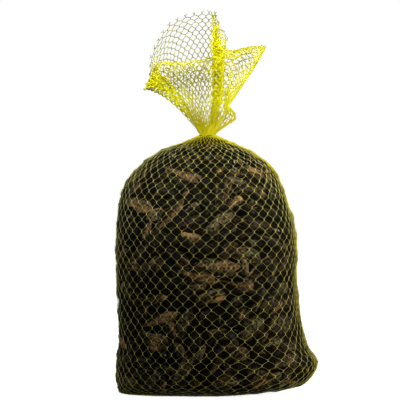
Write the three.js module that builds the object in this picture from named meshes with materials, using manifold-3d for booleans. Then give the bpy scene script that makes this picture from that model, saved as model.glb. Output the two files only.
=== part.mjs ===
// A net bag of mussels standing on its base. The shells press out against a tight net, which is gathered
// to a neck and flares out above it in loose folds. Millimetres, +Z up, the front faces -Y, and the origin
// is on the base, straight under the neck.
import * as THREE from "three";
import { mergeVertices } from "three/addons/utils/BufferGeometryUtils.js";
import Module from "manifold-3d";

const wasm = await Module();
wasm.setup();

// Driving dimensions of the filled bag
const BAG_HEIGHT = 316;
const BAG_HALF_WIDTH = 110;
const BAG_HALF_DEPTH = 82;
const BACK_SHARE = 0.94;
const SECTION_POWER = 0.87;

// The bottom right corner, where the tube of net is drawn out to a point
const CORNER_HEIGHT = 38;
const CORNER_REACH = 34;
const CORNER_PINCH = 0.12;
const CORNER_FILL = 0.7;

// The outline from the middle of the base up to the neck, as shares of the dimensions above
const OUTLINE = [
  { up: 0.0, left: 0.0, right: 0.0, deep: 0.0 },
  { up: 0.0, left: 0.74, right: 0.56, deep: 0.66 },
  { up: 0.03, left: 0.96, right: 0.92, deep: 0.87 },
  { up: 0.12, left: 1.0, right: 1.21, deep: 0.97 },
  { up: 0.21, left: 0.97, right: 1.08, deep: 1.0 },
  { up: 0.42, left: 0.99, right: 0.99, deep: 1.0 },
  { up: 0.62, left: 1.0, right: 0.98, deep: 0.94 },
  { up: 0.78, left: 0.94, right: 0.86, deep: 0.81 },
  { up: 0.875, left: 0.77, right: 0.7, deep: 0.64 },
  { up: 0.943, left: 0.51, right: 0.46, deep: 0.43 },
  { up: 0.981, left: 0.27, right: 0.24, deep: 0.25 },
  { up: 1.0, left: 0.08, right: 0.08, deep: 0.11 },
];
const LAST_STATION = OUTLINE.length - 1;
const BASE_EDGE = 1 / LAST_STATION;
const SHELLS_END = 9.55 / LAST_STATION;

// The mussels
const MUSSEL_LENGTH = 52;
const MUSSEL_HEIGHT = 26;
const MUSSEL_THICKNESS = 20;
const BEAK_TAPER = 0.26;
const SIZE_SPREAD = 0.28;
const AREA_PER_MUSSEL = 1320;
const CORE_INSET = 8;
const BASE_CUT = 2;
const LEAN_MIDDLE = 0.2;
const LEAN_SPREAD = 2.4;
const ROLL_SPREAD = 1.2;
const GOLDEN_ANGLE = Math.PI * (3 - Math.sqrt(5));
const FRONT_CROWDING = 0.11;

// The neck and the loose net above it
const NECK_RADIUS = 9;
const NECK_HEIGHT = 8;
const NECK_GAP = 0.3;
const NECK_SIDES = 20;
const FOLDS_START = 6;
const NET_THICKNESS = 1.6;
const FOLD_COLUMNS = 52;
const FOLD_ROWS = 6;
const FOLD_BULGE = 0.09;

// The loose net's rim, anticlockwise from its right corner, measured from where the folds start
const RIM = [
  [68, 0, 104],
  [46, 9, 106],
  [25, 10, 105],
  [20, 15, 124],
  [9, 10, 144],
  [-14, 22, 143],
  [-40, 26, 128],
  [-62, 18, 105],
  [-72, 2, 80],
  [-77, -12, 55],
  [-56, -20, 80],
  [-26, -22, 85],
  [1, -18, 89],
  [9, -8, 110],
  [17, 0, 110],
  [28, -9, 98],
  [50, -8, 101],
];
// The small fold that hangs out to the right, low on the loose net
const SIDE_FOLD = { share: 0.97, along: 0.27, width: 0.07, reach: 0.16, out: 20 };

const FINISH = {
  mussels: { color: 0x1e1c19, roughness: 0.45, metalness: 0 },
  net: { color: 0xd9d31c, roughness: 0.5, metalness: 0 },
};

// Vertices closer than this are one
const WELD = 0.001;

const smoothstep = THREE.MathUtils.smoothstep;

// A repeatable draw from 0 to 1
function chance(index, salt) {
  const wave = Math.sin(index * 12.9898 + salt * 78.233) * 43758.5453;
  return wave - Math.floor(wave);
}

function outlineEdge(side, size) {
  const points = OUTLINE.map((row) => new THREE.Vector2(row[side] * size, row.up * BAG_HEIGHT));
  return new THREE.SplineCurve(points);
}

const leftEdge = outlineEdge("left", BAG_HALF_WIDTH);
const rightEdge = outlineEdge("right", BAG_HALF_WIDTH);
const deepEdge = outlineEdge("deep", BAG_HALF_DEPTH);

function rounded(value, power) {
  return Math.sign(value) * Math.abs(value) ** power;
}

// How near a height is to the drawn-out corner, from 0 to 1
function nearCorner(height) {
  return Math.exp(-(((height - CORNER_HEIGHT) / CORNER_REACH) ** 2));
}

// The point of the tight net at an angle round the bag and a share of the way up its outline
function bagPoint(around, climb) {
  const across = Math.cos(around);
  const back = Math.sin(around);
  const edge = across < 0 ? leftEdge : rightEdge;
  const { x: halfWidth, y: height } = edge.getPoint(climb);
  const halfDepth = deepEdge.getPoint(climb).x * (back > 0 ? BACK_SHARE : 1);
  const pinch = across > 0 ? CORNER_PINCH * nearCorner(height) : 0;
  const x = halfWidth * rounded(across, SECTION_POWER + pinch);
  const y = halfDepth * rounded(back, SECTION_POWER);
  return new THREE.Vector3(x, y, height);
}

// The directions along, up and out of the net at a point
function bagFrame(around, climb) {
  const step = 0.004;
  const low = Math.max(climb - step, step);
  const high = Math.min(climb + step, 1 - step);
  const east = bagPoint(around + step, climb).sub(bagPoint(around - step, climb)).normalize();
  const rise = bagPoint(around, high).sub(bagPoint(around, low));
  const out = new THREE.Vector3().crossVectors(east, rise).normalize();
  const north = new THREE.Vector3().crossVectors(out, east);
  return { east, north, out };
}

function toSolid(geometry) {
  const bare = geometry.clone();
  bare.deleteAttribute("normal");
  bare.deleteAttribute("uv");
  const merged = mergeVertices(bare, WELD);
  const vertProperties = new Float32Array(merged.attributes.position.array);
  const triVerts = new Uint32Array(merged.index.array);
  return new wasm.Manifold(new wasm.Mesh({ numProp: 3, vertProperties, triVerts }));
}

// The largest closed skin of a solid, without the hollows that joining sealed or any loose scrap
function outerSkin(solid) {
  const skins = toSolid(toGeometry(solid)).decompose();
  skins.sort((one, other) => other.volume() - one.volume());
  return skins.length > 1 ? outerSkin(skins[0]) : skins[0];
}

function toGeometry(solid) {
  const mesh = solid.getMesh();
  const geometry = new THREE.BufferGeometry();
  geometry.setAttribute("position", new THREE.BufferAttribute(mesh.vertProperties, 3));
  geometry.setIndex(new THREE.BufferAttribute(mesh.triVerts, 1));
  geometry.computeVertexNormals();
  return geometry;
}

// Moves every vertex of a geometry to where place() puts it
function reshape(geometry, place) {
  const spot = new THREE.Vector3();
  const { position, uv } = geometry.attributes;
  for (let index = 0; index < position.count; index += 1) {
    spot.fromBufferAttribute(position, index);
    const moved = place(spot, uv.getX(index), uv.getY(index));
    position.setXYZ(index, moved.x, moved.y, moved.z);
  }
  return geometry;
}

// The packed shells under the outer layer: the bag's own form, set in by half a shell along its sides
function coreGeometry() {
  const form = new THREE.SphereGeometry(1, 22, 16);
  return reshape(form, (spot, turn, climb) => {
    const around = 2 * Math.PI * turn;
    const skin = bagPoint(around, climb);
    if (climb < 0.001 || climb > 0.999) {
      return new THREE.Vector3(0, 0, climb < 0.5 ? -BASE_CUT : skin.z);
    }
    const leaveBase = smoothstep(climb, BASE_EDGE, 2.4 * BASE_EDGE);
    const leaveNeck = 1 - smoothstep(climb, SHELLS_END - BASE_EDGE / 2, SHELLS_END + BASE_EDGE / 2);
    const leaveCorner = 1 - CORNER_FILL * nearCorner(skin.z) * Math.max(Math.cos(around), 0);
    const inset = CORE_INSET * leaveBase * leaveNeck * leaveCorner;
    skin.z -= BASE_CUT * (1 - leaveBase);
    return skin.addScaledVector(bagFrame(around, climb).out, -inset);
  });
}

// One mussel of few sides: a blunt wedge, pointed at its beak, lying along X
function musselGeometry() {
  const form = new THREE.SphereGeometry(1, 6, 4);
  const fullSides = Math.cos(Math.PI / 6);
  return reshape(form, (spot) => {
    const taper = 1 - BEAK_TAPER + BEAK_TAPER * spot.y;
    return new THREE.Vector3(
      (spot.y * MUSSEL_LENGTH) / 2,
      (-spot.x * taper * MUSSEL_HEIGHT) / 2,
      (spot.z * taper * MUSSEL_THICKNESS) / 2 / fullSides,
    );
  });
}

// The area of the narrow band of net between two shares of the climb
function bandArea(climb, step) {
  const parts = 24;
  let area = 0;
  for (let part = 0; part < parts; part += 1) {
    const around = (2 * Math.PI * part) / parts;
    const here = bagPoint(around, climb);
    const beside = bagPoint(around + (2 * Math.PI) / parts, climb);
    const above = bagPoint(around, climb + step);
    area += here.distanceTo(beside) * here.distanceTo(above);
  }
  return area;
}

// Spreads the outer mussels evenly over the net, each turned its own way
function musselSites() {
  const step = 0.002;
  const sites = [];
  let bare = 0;
  for (let climb = BASE_EDGE; climb < SHELLS_END; climb += step) {
    bare += bandArea(climb, step);
    while (bare > AREA_PER_MUSSEL) {
      bare -= AREA_PER_MUSSEL;
      const index = sites.length;
      const turn = index * GOLDEN_ANGLE;
      sites.push({
        around: turn + FRONT_CROWDING * Math.sin(2 * turn),
        climb,
        lean: LEAN_MIDDLE + LEAN_SPREAD * (chance(index, 1) - 0.5),
        roll: ROLL_SPREAD * (chance(index, 2) - 0.5),
        size: 1 + SIZE_SPREAD * (chance(index, 3) - 0.6),
      });
    }
  }
  return sites;
}

// Lays a mussel against the inside of the net at its site
function musselMatrix({ around, climb, lean, roll, size }) {
  const { east, north, out } = bagFrame(around, climb);
  const long = east.clone().multiplyScalar(Math.cos(lean)).addScaledVector(north, Math.sin(lean));
  const side = new THREE.Vector3().crossVectors(out, long);
  const thick = out.clone().multiplyScalar(Math.cos(roll)).addScaledVector(side, Math.sin(roll));
  const tall = new THREE.Vector3().crossVectors(thick, long);
  const depth = Math.hypot(MUSSEL_THICKNESS * Math.cos(roll), MUSSEL_HEIGHT * Math.sin(roll)) / 2;
  const place = bagPoint(around, climb).addScaledVector(out, -depth * size);
  const matrix = new THREE.Matrix4().makeBasis(long, tall, thick);
  return matrix.scale(new THREE.Vector3(size, size, size)).setPosition(place);
}

function filledBag() {
  const shell = toSolid(musselGeometry());
  const pieces = [toSolid(coreGeometry())];
  for (const site of musselSites()) {
    pieces.push(shell.transform(musselMatrix(site).elements));
  }
  const floorDepth = 60;
  const floor = new THREE.BoxGeometry(4 * BAG_HALF_WIDTH, 4 * BAG_HALF_WIDTH, floorDepth);
  floor.translate(0, 0, -floorDepth / 2);
  const heap = wasm.Manifold.union(pieces).subtract(toSolid(floor));
  return toGeometry(outerSkin(heap));
}

const rimCurve = new THREE.CatmullRomCurve3(RIM.map((place) => new THREE.Vector3(...place)), true);

// A point of the loose net: a share of the way round it, and along it from the neck to the rim
function loosePoint(share, along) {
  const around = 2 * Math.PI * share;
  const place = new THREE.Vector3(Math.cos(around), Math.sin(around), 0).multiplyScalar(NECK_RADIUS);
  const rim = rimCurve.getPoint(share % 1);
  place.lerp(rim, along);
  const bulge = 1 + FOLD_BULGE * Math.sin(Math.PI * along);
  const beside = Math.abs(share - SIDE_FOLD.share) / SIDE_FOLD.width;
  const above = (along - SIDE_FOLD.along) / SIDE_FOLD.reach;
  const hang = SIDE_FOLD.out * Math.exp(-(beside ** 2) - above ** 2);
  return new THREE.Vector3(place.x * bulge + hang, place.y * bulge, place.z);
}

// Gives an open sheet a thickness: both faces keep its triangles, and a strip closes each border
function thicken(sheet, thickness) {
  sheet.deleteAttribute("normal");
  sheet.deleteAttribute("uv");
  const merged = mergeVertices(sheet, WELD);
  merged.computeVertexNormals();
  const { position, normal } = merged.attributes;
  const count = position.count;
  const places = new Float32Array(count * 6);
  for (let index = 0; index < count * 3; index += 1) {
    const step = (normal.array[index] * thickness) / 2;
    places[index] = position.array[index] + step;
    places[count * 3 + index] = position.array[index] - step;
  }
  const triangles = [];
  const borders = new Map();
  const faces = merged.index.array;
  for (let start = 0; start < faces.length; start += 3) {
    const [a, b, c] = faces.slice(start, start + 3);
    triangles.push(a, b, c, count + a, count + c, count + b);
    for (const [from, to] of [[a, b], [b, c], [c, a]]) {
      if (!borders.delete(`${to} ${from}`)) {
        borders.set(`${from} ${to}`, [from, to]);
      }
    }
  }
  for (const [from, to] of borders.values()) {
    triangles.push(to, from, count + from, to, count + from, count + to);
  }
  const solid = new THREE.BufferGeometry();
  solid.setAttribute("position", new THREE.BufferAttribute(places, 3));
  solid.setIndex(triangles);
  return solid;
}

function looseNet() {
  const tube = new THREE.CylinderGeometry(1, 1, 1, FOLD_COLUMNS, FOLD_ROWS, true);
  const sheet = reshape(tube, (spot, share, along) => loosePoint(share, along));
  const folds = thicken(sheet, NET_THICKNESS);
  folds.translate(0, 0, FOLDS_START);
  const neckRadius = NECK_RADIUS + NET_THICKNESS / 2;
  const neck = new THREE.CylinderGeometry(neckRadius + 0.3, neckRadius, NECK_HEIGHT, NECK_SIDES);
  neck.rotateX(Math.PI / 2);
  neck.translate(0, 0, NECK_HEIGHT / 2);
  return toGeometry(toSolid(folds).add(toSolid(neck)));
}

function piece(name, geometry, finish) {
  const mesh = new THREE.Mesh(geometry, new THREE.MeshStandardMaterial(finish));
  mesh.name = name;
  return mesh;
}

const bag = new THREE.Group();
bag.add(piece("mussels_in_net", filledBag(), FINISH.mussels));
const top = piece("net_top", looseNet(), FINISH.net);
top.position.z = BAG_HEIGHT + NECK_GAP;
bag.add(top);

export default bag;
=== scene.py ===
import math
from collections import namedtuple

import bmesh
import bpy
import numpy as np
from bpy.props import FloatProperty, FloatVectorProperty, IntProperty, PointerProperty
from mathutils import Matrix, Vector
from mathutils.bvhtree import BVHTree
from mathutils.kdtree import KDTree


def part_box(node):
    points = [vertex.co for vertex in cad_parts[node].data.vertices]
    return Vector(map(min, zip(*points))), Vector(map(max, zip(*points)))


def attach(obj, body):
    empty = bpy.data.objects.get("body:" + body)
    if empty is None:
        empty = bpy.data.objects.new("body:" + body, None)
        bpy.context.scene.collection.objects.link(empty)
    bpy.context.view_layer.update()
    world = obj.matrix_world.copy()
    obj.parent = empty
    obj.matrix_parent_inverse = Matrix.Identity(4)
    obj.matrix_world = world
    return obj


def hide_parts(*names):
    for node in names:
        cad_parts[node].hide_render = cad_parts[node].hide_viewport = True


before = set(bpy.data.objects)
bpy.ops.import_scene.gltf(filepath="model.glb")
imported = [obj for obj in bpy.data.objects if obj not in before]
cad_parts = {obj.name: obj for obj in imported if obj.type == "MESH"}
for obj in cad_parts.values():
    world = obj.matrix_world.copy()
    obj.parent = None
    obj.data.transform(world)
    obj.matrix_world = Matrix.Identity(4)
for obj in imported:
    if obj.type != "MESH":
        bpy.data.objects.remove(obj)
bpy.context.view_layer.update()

bl_info = {
    "name": "Net Bag of Mussels",
    "version": (1, 0, 0),
    "blender": (4, 5, 0),
    "location": "View3D > Sidebar > Mussel Bag",
    "description": "Fills a net bag with mussels and draws the net tight over them",
    "category": "Add Mesh",
}

BAG_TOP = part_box("mussels_in_net")[1].z
NECK_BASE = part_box("net_top")[0].z
BODY = "root"
FULL_TURN = 2 * math.pi

# Lengths are in metres. Angles round the bag start at its right side and go by the back.
# A climb is a share of the way along the bag's outline, from the middle of its base to its neck

# Outline of the filled bag from the middle of its base up to the neck:
# height, reach to the left, reach to the right and depth, as shares of its sizes
OUTLINE = np.array((
    (0.0, 0.0, 0.0, 0.0),
    (0.0, 0.865, 0.36, 0.5),
    (0.03, 0.983, 1.01, 0.86),
    (0.12, 1.0, 1.21, 0.97),
    (0.21, 0.97, 1.08, 1.0),
    (0.42, 0.99, 0.99, 1.0),
    (0.62, 1.0, 0.98, 0.94),
    (0.78, 0.94, 0.86, 0.81),
    (0.875, 0.77, 0.72, 0.64),
    (0.943, 0.51, 0.48, 0.43),
    (0.981, 0.2, 0.21, 0.22),
    (1.0, 0.08, 0.08, 0.11),
))
LAST_STATION = len(OUTLINE) - 1
BASE_EDGE = 1 / LAST_STATION
SHELLS_END = 9.9 / LAST_STATION
MID_CLIMB = 0.45
BACK_SHARE = 0.94
SECTION_POWER = 0.87

# The lower right corner, where the heap sags out
CORNER_HEIGHT = 0.038
CORNER_REACH = 0.034
CORNER_PINCH = 0.12

# The smooth form that holds the mussels in
HELD_CLIMBS = (0.02, 0.985)
HELD_ROUNDS, HELD_ROWS = 96, 90

# Draws that repeat: what an index and a salt are multiplied by, and a salt for each thing drawn
DRAW_BY_INDEX, DRAW_BY_SALT, DRAW_SCALE = 12.9898, 78.233, 43758.5453
LEAN_SALT, ROLL_SALT, SIZE_SALT, TALL_SALT, THICK_SALT, TONE_SALT, KIND_SALT = range(1, 8)
FILLER_ROLL_SALT, FILLER_SIZE_SALT = 12, 13
TIGHT_SEED, LOOSE_SEED = 20, 21

# How the mussels lie against the net
GOLDEN_ANGLE = math.pi * (3 - math.sqrt(5))
FRONT_CROWDING = 0.11
LEAN_MIDDLE = 0.4
LEAN_SPREAD = 1.7
ROLL_SPREAD = 2.7
SIZE_SPREAD, SIZE_BELOW = 0.32, 0.6
TALL_SPREAD = 0.14
THICK_SPREAD = 0.16
BROWN_FROM = 0.72
BROWNNESS = 0.22
NET_ROOM = 2

# The mussels further in: area and start up the outline against those of the outer ones
INNER_AREA = 1.5
INNER_START = 1.6
INNER_FIRST = 500
INNER_DEPTH = 0.024

# How the heap settles: steps, how far a pressed ball moves, and the weight of one that touches nothing
SETTLE_STEPS, QUICK_SETTLE_STEPS = 90, 25
PRESS_STEP = 0.0006
FREE_WEIGHT = 0.12
DRAW_IN_ROUNDS = 3

# Small mussels that fill the gaps, and how the gaps are found
FILLER_LIMIT = 220
FILLER_SIZE, FILLER_SIZE_SPREAD = 0.75, 0.3
FILLER_ROLL_SPREAD = 2.4
FILLER_DEPTH = 0.0008
FILLER_LEANS = 8
FILLER_HALF_LENGTH, FILLER_HALF_WIDTH = 0.024, 0.009
FILLED_SHARE = 0.2
GAP_ROUNDS, GAP_ROWS = 130, 96
GAP_DEPTH = 0.0038
GAP_START = 0.004
GAP_REACH = 0.03
OPEN_GAP = 0.026
USEFUL_GAP = 0.012

# The core under the mussels: how far in from the net it lies, how uneven it is, and its look, near-black
# for the deeper shells and as painted shade in the gaps
CORE_SEGMENTS, CORE_RINGS = 40, 32
CORE_DEPTH = 0.0045
CORE_AT_CORNER, CORE_CORNER_POWER = 0.002, 3
CORE_AT_SIDES = 0.5
CORE_AT_ENDS = 0.85
CORE_BASE_END = 1.7 * BASE_EDGE
CORE_LUMP = 0.002
LUMPS_ROUND, LUMP_TWIST, LUMPS_UP = 9, 40, 60
CORE_WAVES = 60.0
CORE_STOPS, CORE_SHADE_COLOURS = (0.35, 0.7), ((0.001, 0.001, 0.001), (0.009, 0.006, 0.003))
CORE_ROUGHNESS, CORE_SHEEN = 0.6, 0.02

# Form of a mussel, as shares of its length: growth rings from the beaks to the lip, half its
# thickness and height as it lies, its lip, how much it tapers and how full it is below
GROWTH_RINGS = (0.05, 0.42, 0.8, 1.0)
HALF_THICK, HALF_TALL = 0.19, 0.25
LIP_SHARE = 0.011
TAPER_MIDDLE, TAPER, TAPERED_HALF = 0.62, 0.38, 0.707
BELOW_SHARE = 0.82
SWELL_POWER = 0.9

# Kinds of mussel: height, swell of the valves and bend
OUTER_FORMS = ((0.5, 0.78, 0.03), (0.46, 0.72, 0.055), (0.54, 0.84, 0.02))
INNER_FORM = (0.5, 0.8, 0.03)
OUTER_SEGMENTS, INNER_SEGMENTS = 12, 8

# Balls that stand for a mussel while the heap settles: place along it, place across it
# and radius, as shares of its length
SETTLE_BALLS = np.array((
    (-0.34, 0.0, 0.095),
    (-0.15, 0.03, 0.145),
    (-0.15, -0.03, 0.145),
    (0.07, 0.07, 0.165),
    (0.07, -0.07, 0.165),
    (0.27, 0.1, 0.12),
    (0.27, -0.1, 0.12),
    (0.4, 0.0, 0.085),
))

# Markings of a shell: waves a metre, waves from beak to lip or from edge to edge,
# how far one shell's waves are from the next one's, and what share of that picks the pale edges
BLOTCHES, GRAINS, SPECKLES, FINE_GRAINS = 75.0, 330.0, 520.0, 900.0
GROWTH_BANDS, GROWTH_LINES = 3.0, 60.0
SIDE_BANDS, FANS, STRIPES = 1.4, 2.6, 8.0
OWN_SHIFT, EDGE_DRAW = 63.0, 0.5
GROUND_STOPS = (0.6, 0.76, 0.94)

# Where a marking starts and where it is full, on the waves, growth, flank or tone that it follows
SIDE_RANGE, SIDE_GROWTH = (0.4, 0.64), (0.25, 0.6)
FAN_RANGE, FAN_GROWTH, FAN_TONE = (0.42, 0.68), (0.15, 0.6), (0.25, 0.85)
ROUGH_RANGE, SHADE_RANGE = (0.36, 0.64), (0.35, 0.62)
OLIVE_RANGE = (0.3, 0.7)
EDGE_RANGE, EDGE_FLANK, EDGE_GROWTH = (0.4, 0.7), (0.4, 0.2), (0.76, 0.9)
# The rubbed beak is also painted pale as a painted glint of wet shell
RUBBED_GLINT_RANGE, RUBBED_GLINT_GROWTH = (0.5, 0.62), (0.34, 0.1)

# How strong the markings are, with what is added where there are two numbers
MOTTLE = 0.5
TONE_LIFT = 0.16
STRIPE_LIFT = 0.32
SPECKLE_LIFT = (1.2, -1.1)
FAN_SHARE = (0.85, 0.1)
EDGE_SHARE, EDGE_SKIN = 0.52, (0.6, 0.4)
RUBBED_GLINT_SHARE = 0.8
SHADE_SHARE = (0.6, 0.5)
BLOTCH_ROUGHNESS, FINE_ROUGHNESS = 0.3, (0.15, 0.16)
FINE_RELIEF = 0.4
RELIEF_STRENGTH, RELIEF_DEPTH = 0.35, 0.0004
SHELL_SHEEN = 0.038

# How the tight net's skin is found: probes from outside, how far it may sag, and how it is tightened
SKIN_ROUNDS, SKIN_ROWS = 300, 260
PROBE_START, PROBE_REACH = 0.012, 0.032
NET_CLEAR = 0.0005
SAG_LIMIT, CORNER_SAG = 0.02, 0.03
CORNER_POWER = 4
TIGHTEN_STEPS, TIGHTEN_PULL = 240, 0.000025

# How the tight net is knotted and gathered. Ranges are climbs
FIRST_ROW, LOWEST_CLIMB = 0.012, 0.004
SLACK_SHARE = 0.6
NECK_SLACK, BASE_SLACK = (0.85, 1.0), (BASE_EDGE, 1.6 * BASE_EDGE)
JOG_ACROSS, JOG_UP = 0.045, 0.0003
KNOT_HALF = 0.0009
BAR_PARTS = np.array((0.25, 0.5, 0.75))
KNOT_POINTS = 2 + len(BAR_PARTS)
LAY_ASIDE = 0.00018
NECK_RANGE, NECK_OPENING = (0.68, 0.95), 0.19
BUNCHING, BUNCHING_TURN, BUNCHING_WIDTH = 0.66, -0.15, 2
PLEATS, PLEAT_DRIFT = 7, 1.3
PLEAT_RANGE, PLEAT_DEPTH = (0.95, 1.0), 0.5

# How thick the tight net's strands are against a plain one
LEAN_DRAW = 0.28
EDGE_THICKENING = 0.35
KNOT_THICKNESS, BAR_THICKNESS = 2.2, 0.86
COLLAR_TURN, COLLAR_THICKENING, COLLAR_RANGE = 0.75, 1.0, (0.86, 0.96)

# Where a net counts as gathered: how far about, few and many knots, and the size of a knot. Gathered
# strands and knots are painted brighter as painted light, single strands darker as painted shade
TIGHT_CROWD = (0.011, 6, 16, 0.0014)
LOOSE_CROWD = (0.007, 4.0, 7.5, 0.0005)
KNOT_CROWD, KNOT_FADE = 0.4, 1.3

# Plastic of the net: waves a metre, shade, roughness, and heights over the neck where it is packed and
# painted darker as painted shade
NET_PATCHES, NET_GRAINS = 45.0, 700.0
NET_GRAIN_SHARE = 0.5
NET_SHADE_RANGE, NET_SHADE = (0.5, 1.0), (-0.35, 1.0)
NET_ROUGHNESS = (0.3, 0.32)
NET_SHEEN = 0.15
NET_GLOW, NET_GLOW_REACH, NET_GLOW_SCALE = 0.3, (1, 0.9, 0.05), 0.001
PACKED_SHADE_LOW, PACKED_SHADE_HIGH = 0.012, 0.045

# The loose net's upper edge, anticlockwise from its right corner. Each row is a place measured from
# where the folds start, how many columns of net lie between it and the next row, how far the wall bows
# out to the right and up half way, and how much net is folded over outwards. Millimetres
RIM = np.array((
    (70, 0, 97, 3.2, -4, -1, 0),
    (66, 4, 101, 1.8, -4, -1, 0),
    (46, 10, 101, 1.8, 0, 0, 6),
    (20, 11, 96, 1.2, 2, 0, 4),
    (24, 13, 120, 1.2, 3, 0, 0),
    (15, 12, 125, 1.2, 5, 0, 0),
    (12, 2, 140, 1.7, 5, 0, 0),
    (6, 7, 141, 1.7, 4, 0, 0),
    (11, 13, 140, 1.7, 4, 0, 0),
    (2, 18, 143, 2.0, 1, 0, 0),
    (-14, 24, 144, 2.0, 0, 0, 0),
    (-33, 27, 138, 2.0, 0, 0, 0),
    (-49, 26, 127, 2.0, 0, 2, 0),
    (-60, 20, 110, 2.0, 0, 3, 0),
    (-69, 8, 88, 2.0, 0, 5, 0),
    (-69, -5, 68, 2.0, 0, 9, 0),
    (-76, -12, 47, 2.2, 0, 13, 0),
    (-60, -14, 72, 2.2, 0, 11, 0),
    (-75, -17, 49, 2.2, 0, 13, 0),
    (-58, -18, 70, 2.2, 0, 11, 0),
    (-73, -20, 51, 2.2, 0, 13, 0),
    (-60, -22, 80, 2.4, 0, 6, 26),
    (-42, -24, 81, 2.5, 0, 2, 34),
    (-20, -24, 83, 2.5, 0, 0, 36),
    (0, -24, 86, 2.0, 2, 0, 30),
    (21, -21, 97, 2.9, 11, 0, 4),
    (4, -19, 107, 2.9, 5, 0, 0),
    (17, -17, 108, 2.9, 11, 0, 0),
    (7, -15, 117, 2.9, 4, 0, 0),
    (11, -13, 125, 2.9, 12, 0, 0),
    (8, -11, 115, 2.9, 6, 0, 0),
    (21, -8, 94, 1.8, 12, 0, 8),
    (36, -9, 98, 1.8, 2, 0, 12),
    (54, -6, 103, 1.8, 0, 0, 6),
    (66, -4, 101, 3.2, -4, -1, 0),
)) * (0.001, 0.001, 0.001, 1, 0.001, 0.001, 0.001)
RIM_COUNT, RIM_BOW_RIGHT, RIM_BOW_UP, RIM_CUFF = 3, 4, 5, 6
BOW_RIGHT_POWER, BOW_UP_POWER = 0.8, 1.25

# The small fold that hangs out to the right, low on the loose net
SIDE_SHARE, SIDE_ALONG = 0.99, 0.21
SIDE_WIDTH, SIDE_REACH = 0.05, 0.12
SIDE_OUT, SIDE_DROP = 0.024, 0.002

# How the loose net leaves the neck, and how it is folded over
NECK_RADIUS, NECK_PLEATING = 0.008, 0.45
NECK_DROP = 0.004
FOLDS_START = 0.006
FOOT_SINK, FOOT_END = 0.0035, 0.08
FOLD_BULGE = 0.07
FOLD_ROW = 0.72
FOLD_PACKING, FOLD_PACKED_SHARE = 0.1, 0.9
FOLDED_CUFF, FIRM_CUFF = (0, 0.02), (0.01, 0.025)
CUFF_TURN, CUFF_HANG = 0.003, 0.94

# Cells of the loose net: width at the cut edge, length along the net, least rise of a row in bars,
# and the least and greatest length in bars of a bar and between knots further apart
CELL_WIDTH, LOOSE_LENGTH = 0.0085, 0.14
LEAST_RISE = 0.5
BAR_LIMITS, SLANT_LIMITS = (0.5, 1.05), (0.7, 2.1)
RISE_LIMITS, WIDTH_LIMITS = (0.3, 2.0), (0.05, 1.9)

# How the loose net relaxes: the held share at the neck, and what holds a knot to its place
RELAX_STEPS, QUICK_RELAX_STEPS = 60, 20
FREE_FROM = 0.02
RELAX_RATE = 0.4
HOLD, HOLD_AT_EDGE, HOLD_LOW, HOLD_FIRM = 0.1, 0.15, 0.15, 0.6
HOLD_LOW_RANGE = (0.1, 0.45)

# Strands of the loose net against a plain one, and how uneven they are
GATHERED_THICKENING = 0.3
CONE_THINNING = 0.26
CONE_START, CONE_END, CONE_SIDE = (0.02, 0.12), (0.2, 0.45), (0.005, 0.018)
LOOSE_THICKNESS = (1.1, 1.1, 0.92)
LOOSE_ASIDE = 0.0002
BAR_JOG = 0.00025
CUT_ENDS = (0.15, 0.6)

# Lights: name, place, size, power as a share of the main light's, and colour
WHITE = (1, 1, 1)
LIGHTS = (
    ("key", (-0.55, -0.85, 1.35), 0.8, 1.0, WHITE),
    ("fill", (1.6, -0.4, 0.6), 1.2, 3.8, (1, 0.9, 0.7)),
    ("rim", (0.4, 1.3, 1.5), 1.0, 0.8, WHITE),
)
LIGHT_AIM = (0, 0, 0.2)
SPOT_PLACE, SPOT_AIM = (-0.2, -1.5, 1.0), (0, 0, 0.44)
SPOT_ANGLE, SPOT_BLEND, SPOT_SOFTNESS = math.radians(7.5), 0.7, 0.25
SURROUNDINGS = 0.12
FLOOR_SIZE, FLOOR_ROUGHNESS, FLOOR_GLOW = 8, 0.8, 0.9

# Camera
CAMERA_AIM, CAMERA_DISTANCE = Vector((-0.0085, 0, 0.2365)), 4.062
CAMERA_LENS, CAMERA_SENSOR = 300, 36


class BagSizes(bpy.types.PropertyGroup):
    """Sizes of the filled bag."""

    height: FloatProperty(
        name="Height", description="From the floor to the neck", default=BAG_TOP, unit="LENGTH"
    )
    half_width: FloatProperty(
        name="Half Width", description="From the neck's axis to the left side", unit="LENGTH",
        default=0.1125,
    )
    half_depth: FloatProperty(
        name="Half Depth", description="From the neck's axis to the front", unit="LENGTH",
        default=0.082,
    )


class MusselLook(bpy.types.PropertyGroup):
    """Sizes and colours of the mussels."""

    length: FloatProperty(
        name="Length", description="Length of a middling mussel", default=0.059, unit="LENGTH"
    )
    area: FloatProperty(
        name="Net Area", description="Area of net that one mussel takes up", default=0.00104, unit="AREA"
    )
    dark: FloatVectorProperty(
        name="Dark Shell", description="Main colour of the shells", subtype="COLOR",
        default=(0.0024, 0.0021, 0.0005),
    )
    brown: FloatVectorProperty(
        name="Brown Shell", description="Colour of the brown bands", subtype="COLOR",
        default=(0.05, 0.032, 0.014),
    )
    tan: FloatVectorProperty(
        name="Tan Streak", description="Colour of the pale streaks", subtype="COLOR",
        default=(0.4, 0.22, 0.075),
    )
    grey: FloatVectorProperty(
        name="Grey Fan", description="Colour of the grey fans", subtype="COLOR",
        default=(0.155, 0.125, 0.06),
    )
    olive: FloatVectorProperty(
        name="Olive Fan", description="Colour of the green fans", subtype="COLOR",
        default=(0.12, 0.117, 0.06),
    )
    edge: FloatVectorProperty(
        name="Pale Edge", description="Colour of the pale long edges", subtype="COLOR",
        default=(0.34, 0.205, 0.085),
    )
    # Worn beaks, also painted pale as a painted glint of wet shell
    worn_beak_glint: FloatVectorProperty(
        name="Worn Beak Glint", description="Colour where a beak is rubbed bare", subtype="COLOR",
        default=(0.48, 0.43, 0.33),
    )


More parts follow.
